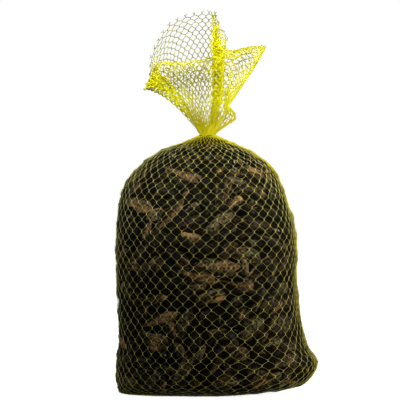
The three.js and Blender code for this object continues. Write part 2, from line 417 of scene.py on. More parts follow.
class NetLook(bpy.types.PropertyGroup):
    """Sizes and colours of the net."""

    columns: IntProperty(name="Columns", description="Cells round the full net", default=50, min=8)
    loose_columns: IntProperty(
        name="Loose Columns", description="Cells round the loose net", default=69, min=8
    )
    strand: FloatProperty(
        name="Tight Strand", description="Radius of a strand where the net is full", unit="LENGTH",
        default=0.00009,
    )
    loose_strand: FloatProperty(
        name="Loose Strand", description="Radius of a strand where the net is loose", unit="LENGTH",
        default=0.00046,
    )
    row: FloatProperty(
        name="Row", description="Between rows of knots where the net is full", unit="LENGTH",
        default=0.0073,
    )
    loose_bar: FloatProperty(
        name="Loose Bar", description="Side of a cell where the net is loose", unit="LENGTH",
        default=0.0059,
    )
    # Painted light: gathered strands and knots are painted this brighter yellow, for the light that
    # passes through gathered plastic
    colour: FloatVectorProperty(
        name="Lit Gathered Colour", description="Colour of the plastic where it is gathered", subtype="COLOR",
        default=(0.95, 0.92, 0.004),
    )
    # Painted shade: the tightly packed neck is painted this darker yellow
    packed_shade_colour: FloatVectorProperty(
        name="Packed Shade Colour", description="Colour where the net is packed tightest", subtype="COLOR",
        default=(0.61, 0.55, 0.004),
    )
    # Painted shade: single loose strands are painted this darker olive
    shaded_thin_colour: FloatVectorProperty(
        name="Shaded Thin Colour", description="Colour of single loose strands", subtype="COLOR",
        default=(0.33, 0.32, 0.006),
    )
    tight_colour: FloatVectorProperty(
        name="Tight Colour", description="Colour of strands that are drawn tight", subtype="COLOR",
        default=(0.82, 0.8, 0.27),
    )


class StageLook(bpy.types.PropertyGroup):
    """Floor, light and camera."""

    floor: FloatVectorProperty(
        name="Floor", description="Colour of the floor", subtype="COLOR", default=(0.86, 0.86, 0.85)
    )
    key: FloatProperty(name="Key Light", description="Power of the main light", default=9.0, unit="POWER")
    spot: FloatProperty(
        name="Spot Light", description="Power of the light on the loose net", default=740.0, unit="POWER"
    )
    elevation: FloatProperty(
        name="Camera Elevation", description="How far the camera looks down", default=math.radians(2),
        subtype="ANGLE",
    )


def chance(index, salt):
    """A repeatable draw from 0 to 1."""
    wave = math.sin(index * DRAW_BY_INDEX + salt * DRAW_BY_SALT) * DRAW_SCALE
    return wave - math.floor(wave)


def spread(width, index, salt, below=0.5):
    """A repeatable draw from a spread, a share of which lies below nought."""
    return width * (chance(index, salt) - below)


def smoothstep(value, low, high):
    """How far a value is from low to high, from 0 to 1 with soft ends."""
    share = np.clip((value - low) / (high - low), 0, 1)
    return share * share * (3 - 2 * share)


def running_sum(values):
    """Sums of a row of values so far, from nought."""
    return np.concatenate(((0,), np.cumsum(values)))


def angles_round(count, closed=False):
    """Even angles round the bag, with the first one again at the end of a closed ring."""
    return np.arange(count + closed) * FULL_TURN / count


def unit(vectors):
    """Vectors of length 1."""
    return vectors / np.maximum(np.linalg.norm(vectors, axis=-1, keepdims=True), 1e-12)


def spline(points, share, closed=False):
    """Places along a smooth curve through a row of points, with its ends held or joined."""
    count = len(points)
    last = count if closed else count - 1
    place = np.clip(np.asarray(share, float), 0, 1) * last
    start = np.minimum(place.astype(int), last - 1)
    part = (place - start)[..., None]

    def row(step):
        index = start + step
        return points[index % count] if closed else points[np.clip(index, 0, last)]

    before, here, after, beyond = row(-1), row(0), row(1), row(2)
    leave = (after - before) / 2
    arrive = (beyond - here) / 2
    cubic = 2 * here - 2 * after + leave + arrive
    square = -3 * here + 3 * after - 2 * leave - arrive
    return ((cubic * part + square) * part + leave) * part + here


def rounded(value, power):
    """A cosine or sine raised to a power, to make a round section squarer."""
    return np.sign(value) * np.abs(value) ** power


def near_corner(height):
    """How near a height is to the lower right corner's, from 0 to 1."""
    return np.exp(-(((height - CORNER_HEIGHT) / CORNER_REACH) ** 2))


def bag_points(bag, around, climb):
    """Points of the tight net at angles round the bag and shares of the way up its outline."""
    around, climb = np.broadcast_arrays(np.asarray(around, float), np.asarray(climb, float))
    station = spline(OUTLINE, climb)
    across = np.cos(around)
    back = np.sin(around)
    height = np.maximum(station[..., 0], 0) * bag.height
    half_width = np.where(across < 0, station[..., 1], station[..., 2]) * bag.half_width
    half_depth = station[..., 3] * bag.half_depth * np.where(back > 0, BACK_SHARE, 1)
    pinch = np.where(across > 0, CORNER_PINCH * near_corner(height), 0)
    x = half_width * rounded(across, SECTION_POWER + pinch)
    y = half_depth * rounded(back, SECTION_POWER)
    return np.stack((x, y, height), -1)


def bag_frame(bag, around, climb):
    """Points of the tight net with their directions round, up and out."""
    step = 0.004
    climb = np.asarray(climb, float)
    low = np.maximum(climb - step, step)
    high = np.minimum(climb + step, 1 - step)
    middle = np.clip(climb, step / 2, 1)
    east = unit(bag_points(bag, around + step, middle) - bag_points(bag, around - step, middle))
    rise = bag_points(bag, around, high) - bag_points(bag, around, low)
    out = unit(np.cross(east, rise))
    north = np.cross(out, east)
    return bag_points(bag, around, climb), east, north, out


def bag_tree(bag):
    """The smooth inside of the net, to hold the mussels in."""
    climb = np.linspace(*HELD_CLIMBS, HELD_ROWS)
    grid = bag_points(bag, angles_round(HELD_ROUNDS)[None, :], climb[:, None]).reshape(-1, 3)
    index = np.arange(len(grid)).reshape(HELD_ROWS, HELD_ROUNDS)
    beside = np.roll(index, -1, 1)
    walls = np.stack((index[:-1], beside[:-1], beside[1:], index[1:]), -1).reshape(-1, 4)
    ends = (index[0][::-1].tolist(), index[-1].tolist())
    return BVHTree.FromPolygons(grid.tolist(), [*walls.tolist(), *ends])


def mussel_sites(bag, area, first, start):
    """Spreads mussels evenly over the net: angle, climb, lean, roll and size of each."""
    step = 0.002
    around = angles_round(24, closed=True)
    sites = []
    bare = 0.0
    for climb in np.arange(BASE_EDGE * start, SHELLS_END, step):
        here = bag_points(bag, around, climb)
        above = bag_points(bag, around, climb + step)
        beside = np.linalg.norm(here[1:] - here[:-1], axis=1)
        rise = np.linalg.norm(above - here, axis=1)[:-1]
        bare += float(np.sum(beside * rise))
        while bare > area:
            bare -= area
            index = first + len(sites)
            turn = index * GOLDEN_ANGLE
            sites.append((
                turn + FRONT_CROWDING * math.sin(2 * turn),
                climb,
                LEAN_MIDDLE + spread(LEAN_SPREAD, index, LEAN_SALT),
                spread(ROLL_SPREAD, index, ROLL_SALT),
                1 + spread(SIZE_SPREAD, index, SIZE_SALT, SIZE_BELOW),
            ))
    return np.array(sites)


def lay_mussels(bag, sites, depth, length):
    """Places, turns and lengths of mussels laid against the net or in under it."""
    around, climb, lean, roll, size = sites.T
    skin, east, north, out = bag_frame(bag, around, climb)
    long = east * np.cos(lean)[:, None] + north * np.sin(lean)[:, None]
    side = np.cross(out, long)
    thick = out * np.cos(roll)[:, None] + side * np.sin(roll)[:, None]
    tall = np.cross(thick, long)
    sunk = np.hypot(HALF_THICK * np.cos(roll), HALF_TALL * np.sin(roll)) * length * size + depth
    places = skin - out * sunk[:, None]
    return places, np.stack((long, tall, thick), -1), size * length


def joined_rows(*groups):
    """Groups of places, turns and lengths, end to end."""
    return [np.concatenate(rows) for rows in zip(*groups)]


def push_apart(spots, radii, reach):
    """Moves balls that overlap apart, and says which ones did."""
    near = spots.astype(np.float32)
    square = np.sum(near * near, 1)
    apart = square[:, None] + square[None, :] - 2 * near @ near.T
    one, other = np.nonzero(apart < reach)
    line = spots[other] - spots[one]
    far = np.maximum(np.linalg.norm(line, axis=1), 1e-6)
    push = line * ((radii[one] + radii[other] - far) / far / 2)[:, None]
    np.subtract.at(spots, one, push)
    np.add.at(spots, other, push)
    touched = np.zeros(len(spots))
    touched[one] = 1
    touched[other] = 1
    return touched


def keep_inside(spots, radii, touched, pressed, skin, clear):
    """Moves balls back inside the net, and those that are pressed a little way out to it."""
    for index, spot in enumerate(spots):
        place, normal, _, _ = skin.find_nearest(spot)
        slack = (place - Vector(spot)).dot(normal) - radii[index] - clear
        if slack < 0:
            spots[index] += np.array(normal) * slack
            touched[index] = 1
        elif pressed[index]:
            spots[index] += np.array(normal) * min(slack, PRESS_STEP)


def follow_balls(spots, offsets, weight):
    """Places and turns of the mussels that come nearest to where their balls have gone."""
    weight = weight / weight.sum(1, keepdims=True)
    middle = (spots * weight).sum(1)
    rest = (offsets * weight).sum(1)
    shape = np.einsum("nki,nkj->nij", (spots - middle[:, None]) * weight, offsets - rest[:, None])
    left, _, right = np.linalg.svd(shape)
    flip = np.ones((len(spots), 3))
    flip[:, 2] = np.linalg.det(left @ right)
    turns = (left * flip[:, None, :]) @ right
    return middle - np.einsum("nij,nj->ni", turns, rest), turns


def settle_mussels(places, turns, lengths, outer, skin, clear):
    """Moves and turns the mussels until they lie beside each other and inside the net."""
    balls = len(SETTLE_BALLS)
    offsets = np.zeros((len(places), balls, 3))
    offsets[..., :2] = SETTLE_BALLS[:, :2] * lengths[:, None, None]
    radii = (SETTLE_BALLS[:, 2] * lengths[:, None]).ravel()
    owner = np.repeat(np.arange(len(places)), balls)
    reach = (radii[:, None] + radii[None, :]).astype(np.float32) ** 2
    reach[owner[:, None] >= owner[None, :]] = -1
    for _ in range(SETTLE_STEPS):
        spots = (places[:, None] + np.einsum("nij,nkj->nki", turns, offsets)).reshape(-1, 3)
        touched = push_apart(spots, radii, reach)
        keep_inside(spots, radii, touched, outer[owner], skin, clear)
        weight = (FREE_WEIGHT + touched).reshape(-1, balls, 1)
        places, turns = follow_balls(spots.reshape(-1, balls, 3), offsets, weight)
    return places, turns


def draw_in(points, skin, clear):
    """Moves a mussel's points in together until none stands out of the net."""
    for _ in range(DRAW_IN_ROUNDS):
        worst = 0.0
        for point in points:
            place, normal, _, _ = skin.find_nearest(point)
            proud = (Vector(point) - place).dot(normal) + clear
            if proud > worst:
                worst = proud
                inward = np.array(normal) * -proud
        if worst == 0.0:
            break
        points = points + inward
    return points


def heap_tree(places, turns, lengths, shape):
    """The mussels' surfaces, all with one shape, to find the gaps between them."""
    points, _, corners, sizes = shape
    polygons = np.split(corners, np.cumsum(sizes)[:-1])
    every = [place + (points * length) @ turn.T for place, turn, length in zip(places, turns, lengths)]
    starts = np.arange(len(places)) * len(points)
    faces = [(polygon + start).tolist() for start in starts for polygon in polygons]
    return BVHTree.FromPolygons(np.concatenate(every).tolist(), faces)


def gap_depths(skin, out, tree):
    """How deep the gaps between the mussels go in from a grid of points of the net."""
    depth = np.zeros(skin.shape[:2])
    for turn, row in np.ndindex(*depth.shape):
        inward = Vector(-out[turn, row])
        far = tree.ray_cast(Vector(skin[turn, row]) - inward * GAP_START, inward, GAP_REACH)[3]
        depth[turn, row] = OPEN_GAP if far is None else max(far - GAP_START, 0)
    return depth


def filler_sites(bag, tree):
    """Finds the gaps that are left between the mussels and a small mussel to lie in each."""
    around = angles_round(GAP_ROUNDS)
    climb = np.linspace(BASE_EDGE, SHELLS_END, GAP_ROWS)
    skin, east, north, out = bag_frame(bag, around[:, None], climb[None, :])
    depth = gap_depths(skin, out, tree)
    sites = []
    for index in range(FILLER_LIMIT):
        wide = (np.roll(depth, 1, 0) + depth + np.roll(depth, -1, 0)) / 3
        wide[:, 1:-1] = (wide[:, 2:] + wide[:, 1:-1] + wide[:, :-2]) / 3
        turn, row = np.unravel_index(np.argmax(wide), wide.shape)
        if wide[turn, row] < GAP_DEPTH:
            break
        offset = skin - skin[turn, row]
        across = offset @ east[turn, row]
        up = offset @ north[turn, row]
        near = np.sum(offset * offset, -1) < GAP_REACH ** 2
        size = FILLER_SIZE + spread(FILLER_SIZE_SPREAD, index, FILLER_SIZE_SALT)
        best = None
        for lean in np.arange(FILLER_LEANS) * math.pi / FILLER_LEANS:
            along = (across * math.cos(lean) + up * math.sin(lean)) / (FILLER_HALF_LENGTH * size)
            aside = (up * math.cos(lean) - across * math.sin(lean)) / (FILLER_HALF_WIDTH * size)
            cover = near & (along ** 2 + aside ** 2 < 1)
            room = float(np.minimum(depth[cover], USEFUL_GAP).mean())
            if best is None or room > best[0]:
                best = (room, lean, cover)
        _, lean, cover = best
        depth[cover] *= FILLED_SHARE
        roll = spread(FILLER_ROLL_SPREAD, index, FILLER_ROLL_SALT)
        sites.append((around[turn], climb[row], lean, roll, size))
    return np.array(sites)


def mussel_shape(segments, height, swell, bend):
    """One shut mussel of unit length: the beaks at -X, the hinge side up and the valves along Z."""
    bm = bmesh.new()
    last = len(GROWTH_RINGS) - 1
    bmesh.ops.create_uvsphere(bm, u_segments=segments, v_segments=2 * last, radius=1)
    marks = []
    for vert in bm.verts:
        rise = math.acos(max(-1.0, min(1.0, abs(vert.co.z)))) / (math.pi / 2)
        growth = GROWTH_RINGS[round(rise * last)]
        turn = math.atan2(vert.co.y, vert.co.x)
        full, flank = math.cos(turn), math.sin(turn)
        margin_y = height / 2 * flank * (TAPER_MIDDLE + TAPER * full) / TAPERED_HALF
        if margin_y < 0:
            margin_y *= BELOW_SHARE
        margin_y -= bend * full * full
        from_beak = growth * (0.5 * full + 0.5)
        swing = swell * (1 - growth) ** SWELL_POWER
        valve = 0.0 if abs(vert.co.z) < 1e-4 else math.copysign(1, vert.co.z)
        vert.co = (
            -0.5 + from_beak * math.cos(swing),
            growth * margin_y,
            valve * (from_beak * math.sin(swing) + LIP_SHARE),
        )
        marks.append((growth, flank * 0.5 + 0.5))
    bmesh.ops.recalc_face_normals(bm, faces=bm.faces)
    points = np.array([vert.co for vert in bm.verts])
    corners = np.array([vert.index for face in bm.faces for vert in face.verts])
    sizes = np.array([len(face.verts) for face in bm.faces])
    bm.free()
    return points, np.array(marks), corners, sizes


def joined_mesh(name, copies):
    """One mesh from copies of shapes, each a shape's points, marks, corners and face sizes."""
    points, marks, corners, sizes = zip(*copies)
    starts = running_sum([len(part) for part in points])
    corners = np.concatenate([part + start for part, start in zip(corners, starts)])
    points, marks, sizes = joined_rows(*zip(points, marks, sizes))
    mesh = bpy.data.meshes.new(name)
    mesh.vertices.add(len(points))
    mesh.vertices.foreach_set("co", points.ravel())
    mesh.loops.add(len(corners))
    mesh.loops.foreach_set("vertex_index", corners)
    mesh.polygons.add(len(sizes))
    mesh.polygons.foreach_set("loop_start", running_sum(sizes)[:-1])
    mesh.update(calc_edges=True)
    colours = np.ones((len(points), 4))
    colours[:, :3] = marks
    attribute = mesh.attributes.new("shell", "FLOAT_COLOR", "POINT")
    attribute.data.foreach_set("color", colours.ravel())
    mesh.shade_smooth()
    if mesh.validate():
        raise RuntimeError(f"{name} has faulty faces")
    return mesh


def add_piece(name, mesh, material, node):
    """Puts a finished mesh into the scene and ties it to the part's frame."""
    piece = bpy.data.objects.new(name, mesh)
    bpy.context.scene.collection.objects.link(piece)
    mesh.materials.clear()
    mesh.materials.append(material)
    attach(piece, BODY)
    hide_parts(node)
    return piece


def is_socket(value):
    """Whether a value is another node's output."""
    return isinstance(value, bpy.types.NodeSocket)


def set_inputs(tree, node, inputs):
    """Sets a shader node's inputs, or links them where the value is another node's output."""
    for key, value in inputs.items():
        if is_socket(value):
            tree.links.new(value, node.inputs[key])
        else:
            node.inputs[key].default_value = value


def add_node(tree, kind, inputs, **settings):
    """Adds a shader node."""
    node = tree.nodes.new(kind)
    for key, value in settings.items():
        setattr(node, key, value)
    set_inputs(tree, node, inputs)
    return node


def new_material(name):
    """A material with its node tree and main shader."""
    material = bpy.data.materials.new(name)
    material.use_nodes = True
    return material, material.node_tree, material.node_tree.nodes["Principled BSDF"]


def object_place(tree):
    """Where a point lies on its object."""
    return add_node(tree, "ShaderNodeTexCoord", {}).outputs["Object"]


def ramp(tree, factor, places, colours):
    """A colour ramp through colours at places."""
    node = add_node(tree, "ShaderNodeValToRGB", {"Fac": factor})
    elements = node.color_ramp.elements
    while len(elements) < len(places):
        elements.new(0.5)
    for element, place, colour in zip(elements, places, colours):
        element.position = place
        element.color = (*colour, 1)
    return node.outputs["Color"]


def mixed(tree, factor, first, second):
    """Two colours mixed. The mix node's sockets share their names, so they go by number."""
    first, second = (value if is_socket(value) else (*value, 1) for value in (first, second))
    inputs = {0: factor, 6: first, 7: second}
    return add_node(tree, "ShaderNodeMix", inputs, data_type="RGBA").outputs[2]


def shaded(tree, colour, shade):
    """A colour made darker by a shade."""
    return add_node(tree, "ShaderNodeVectorMath", {0: colour, 1: shade}, operation="MULTIPLY").outputs[0]


def math_node(tree, operation, first, second=0.0, third=0.0):
    """One sum on values."""
    inputs = {0: first, 1: second, 2: third}
    return add_node(tree, "ShaderNodeMath", inputs, operation=operation).outputs[0]


def product(tree, first, *others):
    """Values multiplied together."""
    for value in others:
        first = math_node(tree, "MULTIPLY", first, value)
    return first


def scaled(tree, value, factor, added):
    """A value times a factor, with something added."""
    return math_node(tree, "MULTIPLY_ADD", value, factor, added)


def noise(tree, where, scale, detail):
    """Uneven waves in space."""
    inputs = {"Vector": where, "Scale": scale, "Detail": detail}
    return add_node(tree, "ShaderNodeTexNoise", inputs).outputs[0]


def between(tree, value, low, high):
    """How far a value is from low to high, from 0 to 1 with soft ends."""
    inputs = {"Value": value, "From Min": low, "From Max": high}
    node = add_node(tree, "ShaderNodeMapRange", inputs, interpolation_type="SMOOTHSTEP")
    return node.outputs["Result"]


# What a shell's markings follow: the place in the heap, the growth from beak to lip, the flank from
# one long edge to the other, the shell's tone, its own shift of waves, and two grains
Shell = namedtuple("Shell", "where growth flank tone own blotch grain")


def shell_guides(tree):
    """Reads what a shell's markings follow from its marks and its place."""
    marks = add_node(tree, "ShaderNodeAttribute", {}, attribute_name="shell").outputs["Color"]
    growth, flank, tone = add_node(tree, "ShaderNodeSeparateColor", {"Color": marks}).outputs[:3]
    where = object_place(tree)
    own = product(tree, tone, OWN_SHIFT)
    blotch = noise(tree, where, BLOTCHES, 3.0)
    grain = noise(tree, where, GRAINS, 3.0)
    return Shell(where, growth, flank, tone, own, blotch, grain)


def shell_waves(tree, shell, along, count, detail=2.0):
    """Uneven waves along a shell's growth or flank, unlike those of other shells."""
    inputs = {"W": scaled(tree, along, count, shell.own), "Scale": 1.0, "Detail": detail}
    return add_node(tree, "ShaderNodeTexNoise", inputs, noise_dimensions="1D").outputs[0]


def shell_ground(tree, look, shell, brownness):
    """Colour of the shell itself: dark, with brown bands and tan streaks."""
    bands = shell_waves(tree, shell, shell.growth, GROWTH_BANDS)
    mottle = scaled(tree, shell.blotch, MOTTLE, product(tree, bands, MOTTLE))
    toned = scaled(tree, shell.tone, TONE_LIFT, mottle)
    stripes = shell_waves(tree, shell, shell.flank, STRIPES)
    speckle = scaled(tree, noise(tree, shell.where, SPECKLES, 3.0), *SPECKLE_LIFT)
    uneven = scaled(tree, math_node(tree, "ADD", stripes, speckle), STRIPE_LIFT, toned)
    sides = between(tree, shell_waves(tree, shell, shell.flank, SIDE_BANDS, 1.0), *SIDE_RANGE)
    pale = product(tree, sides, between(tree, shell.growth, *SIDE_GROWTH))
    lift = scaled(tree, pale, brownness, uneven)
    return ramp(tree, lift, GROUND_STOPS, (look.dark, look.brown, look.tan))


def shell_skin(tree, look, shell, ground):
    """Rough grey or olive fans over the shell, and a pale long edge on some shells."""
    rough = between(tree, shell.grain, *ROUGH_RANGE)
    fans = between(tree, shell_waves(tree, shell, shell.flank, FANS), *FAN_RANGE)
    grown = product(tree, between(tree, shell.growth, *FAN_GROWTH), rough)
    toned = scaled(tree, between(tree, shell.tone, *FAN_TONE), *FAN_SHARE)
    greenness = between(tree, math_node(tree, "FRACT", shell.own), *OLIVE_RANGE)
    fan_colour = mixed(tree, greenness, look.grey, look.olive)
    fanned = mixed(tree, product(tree, fans, grown, toned), ground, fan_colour)
    at_lip = between(tree, shell.growth, *EDGE_GROWTH)
    at_edge = product(tree, between(tree, shell.flank, *EDGE_FLANK), at_lip)
    has_edge = between(tree, math_node(tree, "FRACT", product(tree, shell.own, EDGE_DRAW)), *EDGE_RANGE)
    edge = product(tree, at_edge, has_edge, scaled(tree, rough, *EDGE_SKIN), EDGE_SHARE)
    return mixed(tree, edge, fanned, look.edge)


def shell_material(look, name, brownness):
    """A wet mussel shell: dark growth bands, rough fans, pale edges and a rubbed beak that is also a
    painted glint of wet shell.
    """
    material, tree, shader = new_material(name)
    shell = shell_guides(tree)
    skin = shell_skin(tree, look, shell, shell_ground(tree, look, shell, brownness))
    # A rubbed beak, painted pale both as wear and as a painted glint of wet shell
    at_beak = between(tree, shell.growth, *RUBBED_GLINT_GROWTH)
    rubbed = product(tree, at_beak, between(tree, shell.grain, *RUBBED_GLINT_RANGE), RUBBED_GLINT_SHARE)
    shade = scaled(tree, between(tree, shell.grain, *SHADE_RANGE), *SHADE_SHARE)
    fine = noise(tree, shell.where, FINE_GRAINS, 2.0)
    lines = shell_waves(tree, shell, shell.growth, GROWTH_LINES, 1.0)
    relief = math_node(tree, "ADD", lines, product(tree, fine, FINE_RELIEF))
    bump = {"Strength": RELIEF_STRENGTH, "Distance": RELIEF_DEPTH, "Height": relief}
    set_inputs(tree, shader, {
        "Base Color": shaded(tree, mixed(tree, rubbed, skin, look.worn_beak_glint), shade),
        "Roughness": scaled(tree, shell.blotch, BLOTCH_ROUGHNESS, scaled(tree, fine, *FINE_ROUGHNESS)),
        "Normal": add_node(tree, "ShaderNodeBump", bump).outputs[0],
        "Specular IOR Level": SHELL_SHEEN,
    })
    return material


def net_material(net, name, thin):
    """Plastic net, olive where it is a single strand, painted darker as painted shade, and yellow where
    it is gathered or knotted, painted brighter as painted light; the packed neck is painted darker as
    painted shade.
    """
    material, tree, shader = new_material(name)
    where = object_place(tree)
    patch = noise(tree, where, NET_PATCHES, 3.0)
    fine = noise(tree, where, NET_GRAINS, 2.0)
    # How gathered the net is sets painted light: gathered strands and knots brighter yellow, single
    # strands the darker thin colour as painted shade
    crowd = add_node(tree, "ShaderNodeAttribute", {}, attribute_name="crowd").outputs["Fac"]
    height = add_node(tree, "ShaderNodeSeparateXYZ", {0: where}).outputs[2]
    # Painted shade, darker where the net is packed tightest at the neck
    packed = between(tree, height, NECK_BASE + PACKED_SHADE_HIGH, NECK_BASE + PACKED_SHADE_LOW)
    gathered = mixed(tree, packed, net.colour, net.packed_shade_colour)
    uneven = between(tree, scaled(tree, fine, NET_GRAIN_SHARE, patch), *NET_SHADE_RANGE)
    set_inputs(tree, shader, {
        "Base Color": shaded(tree, mixed(tree, crowd, thin, gathered), scaled(tree, uneven, *NET_SHADE)),
        "Roughness": scaled(tree, fine, *NET_ROUGHNESS),
        "Specular IOR Level": NET_SHEEN,
        "Subsurface Weight": NET_GLOW,
        "Subsurface Radius": NET_GLOW_REACH,
        "Subsurface Scale": NET_GLOW_SCALE,
    })
    return material


def core_shade_material():
    """The wet inside of the heap, near-black for the deeper shells and as painted shade in the gaps and
    under the collar.
    """
    material, tree, shader = new_material("heap_inside_shade")
    lumps = noise(tree, object_place(tree), CORE_WAVES, 4.0)
    set_inputs(tree, shader, {
        "Base Color": ramp(tree, lumps, CORE_STOPS, CORE_SHADE_COLOURS),
        "Roughness": CORE_ROUGHNESS,
        "Specular IOR Level": CORE_SHEEN,
    })
    return material


def core_depth(around, climb, height):
    """How far the core lies in from the net."""
    lump = CORE_LUMP * math.sin(LUMPS_ROUND * around + LUMP_TWIST * climb) * math.sin(LUMPS_UP * climb)
    corner = near_corner(height) * max(math.cos(around), 0) ** CORE_CORNER_POWER
    depth = (CORE_DEPTH + lump) * (1 - corner) + CORE_AT_CORNER * corner
    near_base = 1 - smoothstep(climb, BASE_EDGE, CORE_BASE_END)
    near_end = smoothstep(climb, SHELLS_END, 1.0) + near_base
    return depth * ((1 - CORE_AT_ENDS * near_end) * (1 - CORE_AT_SIDES * math.cos(around) ** 2))


class MUSSELBAG_OT_core(bpy.types.Operator):
    """Build the core under the mussels, dark as the deeper shells and as painted shade in the gaps"""

    bl_idname = "mussel_bag.core"
    bl_label = "Core"

    def execute(self, context):
        bag = context.scene.bag_sizes
        bm = bmesh.new()
        bmesh.ops.create_uvsphere(bm, u_segments=CORE_SEGMENTS, v_segments=CORE_RINGS, radius=1)
        for vert in bm.verts:
            around = math.atan2(vert.co.y, vert.co.x)
            rise = 1 - math.acos(max(-1.0, min(1.0, vert.co.z))) / math.pi
            wall = min(max((rise * CORE_RINGS - 1) / (CORE_RINGS - 2), 0.0), 1.0)
            climb = BASE_EDGE + wall * (1 - BASE_EDGE)
            skin, _, _, out = bag_frame(bag, around, climb)
            inside = skin - out * core_depth(around, climb, skin[2])
            at_pole = abs(vert.co.z) > 0.999
            vert.co = (0, 0, inside[2]) if at_pole else inside
        mesh = bpy.data.meshes.new("heap_shade_core")
        bm.to_mesh(mesh)
        bm.free()
        mesh.shade_smooth()
        add_piece("heap_shade_core", mesh, core_shade_material(), "mussels_in_net")
        return {"FINISHED"}


class MUSSELBAG_OT_mussels(bpy.types.Operator):
    """Settle the mussels inside the net and build their shells"""

    bl_idname = "mussel_bag.mussels"
    bl_label = "Mussels"

    def execute(self, context):
        bag = context.scene.bag_sizes
        look = context.scene.mussel_look
        clear = NET_ROOM * context.scene.net_look.strand
        skin = bag_tree(bag)
        outer_shapes = [mussel_shape(OUTER_SEGMENTS, *form) for form in OUTER_FORMS]
        inner_shape = mussel_shape(INNER_SEGMENTS, *INNER_FORM)
        outer_sites = mussel_sites(bag, look.area, 0, 1.0)
        inner_sites = mussel_sites(bag, look.area * INNER_AREA, INNER_FIRST, INNER_START)
        places, turns, lengths = joined_rows(
            lay_mussels(bag, outer_sites, clear, look.length),
            lay_mussels(bag, inner_sites, INNER_DEPTH, look.length),
        )
        outer = np.arange(len(places)) < len(outer_sites)
        places, turns = settle_mussels(places, turns, lengths, outer, skin, clear)
        fillers = filler_sites(bag, heap_tree(places, turns, lengths, outer_shapes[0]))
        places, turns, lengths = joined_rows(
            (places, turns, lengths), lay_mussels(bag, fillers, FILLER_DEPTH, look.length)
        )
        outer = np.append(outer, np.ones(len(fillers), bool))
        kinds = {"mussels_dark": [], "mussels_brown": [], "mussels_inner": []}
        for index, (place, turn, length) in enumerate(zip(places, turns, lengths)):
            if outer[index]:
                shape = outer_shapes[index % len(outer_shapes)]
                kind = "mussels_brown" if chance(index, KIND_SALT) > BROWN_FROM else "mussels_dark"
            else:
                shape = inner_shape
                kind = "mussels_inner"
            points, marks, corners, sizes = shape
            tall = 1 + spread(TALL_SPREAD, index, TALL_SALT)
            thick = 1 + spread(THICK_SPREAD, index, THICK_SALT)
            moved = place + (points * np.array((1, tall, thick)) * length) @ turn.T
            tone = np.full((len(points), 1), chance(index, TONE_SALT))
            marks = np.concatenate((marks, tone), 1)
            kinds[kind].append((draw_in(moved, skin, clear), marks, corners, sizes))
        dark = shell_material(look, "dark_shell", 0.0)
        brown = shell_material(look, "brown_shell", BROWNNESS)
        for kind, copies in kinds.items():
            material = brown if kind == "mussels_brown" else dark
            add_piece(kind, joined_mesh(kind, copies), material, "mussels_in_net")
        return {"FINISHED"}


def strands_mesh(name, paths, radius, roundness):
    """Strands along paths, each a row of points and a row of relative radii."""
    curve = bpy.data.curves.new(name, "CURVE")
    curve.dimensions = "3D"
    curve.bevel_depth = radius
    curve.bevel_resolution = roundness
    curve.use_fill_caps = True
    for points, radii in paths:
        line = curve.splines.new("POLY")
        line.points.add(len(points) - 1)
        places = np.ones((len(points), 4))
        places[:, :3] = points
        line.points.foreach_set("co", places.ravel())
        line.points.foreach_set("radius", radii)
    holder = bpy.data.objects.new(name, curve)
    bpy.context.scene.collection.objects.link(holder)
    depsgraph = bpy.context.evaluated_depsgraph_get()
    mesh = bpy.data.meshes.new_from_object(holder.evaluated_get(depsgraph))
    bpy.data.objects.remove(holder)
    bpy.data.curves.remove(curve)
    mesh.shade_smooth()
    return mesh


def crowding(points, knots, radius, few, many, knot_size):
    """How gathered the net is at points: 1 with many knots about, 0 with few."""
    tree = KDTree(len(knots))
    for index, knot in enumerate(knots):
        tree.insert(knot, index)
    tree.balance()
    near = [tree.find_range(point, radius) for point in points]
    counts = np.array([len(found) for found in near])
    closest = np.array([min((item[2] for item in found), default=radius) for found in near])
    on_knot = KNOT_CROWD * smoothstep(-closest, -KNOT_FADE * knot_size, -knot_size)
    return np.maximum(smoothstep(counts, few, many), on_knot)


def mark_crowding(mesh, *settings):
    """Keeps on each point of a net's mesh how gathered the net is there, which sets the net's painted
    light and shade.
    """
    crowd = crowding([vert.co for vert in mesh.vertices], *settings)
    attribute = mesh.attributes.new("crowd", "FLOAT", "POINT")
    attribute.data.foreach_set("value", crowd)


def net_heights(bag, trees, strand):
    """How far off the bag's form a tight skin over the mussels lies, on a grid of angle and climb."""
    around = angles_round(SKIN_ROUNDS)
    climb = np.linspace(0, 1, SKIN_ROWS)
    skin, _, _, out = bag_frame(bag, around[:, None], climb[None, :])
    start = skin + out * PROBE_START
    held = np.full((SKIN_ROUNDS, SKIN_ROWS), -SAG_LIMIT)
    free = (climb > BASE_EDGE) & (climb < SHELLS_END)
    held[:, ~free] = -strand
    to_right = np.maximum(np.cos(around), 0)[:, None] ** CORNER_POWER
    at_corner = to_right * near_corner(skin[..., 2])
    held = np.maximum(held, -strand - CORNER_SAG * (1 - at_corner))
    for row in np.nonzero(free)[0]:
        for turn in range(SKIN_ROUNDS):
            origin = Vector(start[turn, row])
            inward = Vector(-out[turn, row])
            for tree in trees:
                far = tree.ray_cast(origin, inward, PROBE_REACH)[3]
                if far is not None:
                    held[turn, row] = max(held[turn, row], PROBE_START - far + strand + NET_CLEAR)
    heights = held.copy()
    for _ in range(TIGHTEN_STEPS):
        sides = np.roll(heights, 1, 0) + np.roll(heights, -1, 0)
        ends = heights.copy()
        ends[:, 1:-1] = (heights[:, 2:] + heights[:, :-2]) / 2
        heights = np.maximum(held, (sides / 2 + ends) / 2 - TIGHTEN_PULL)
    return heights


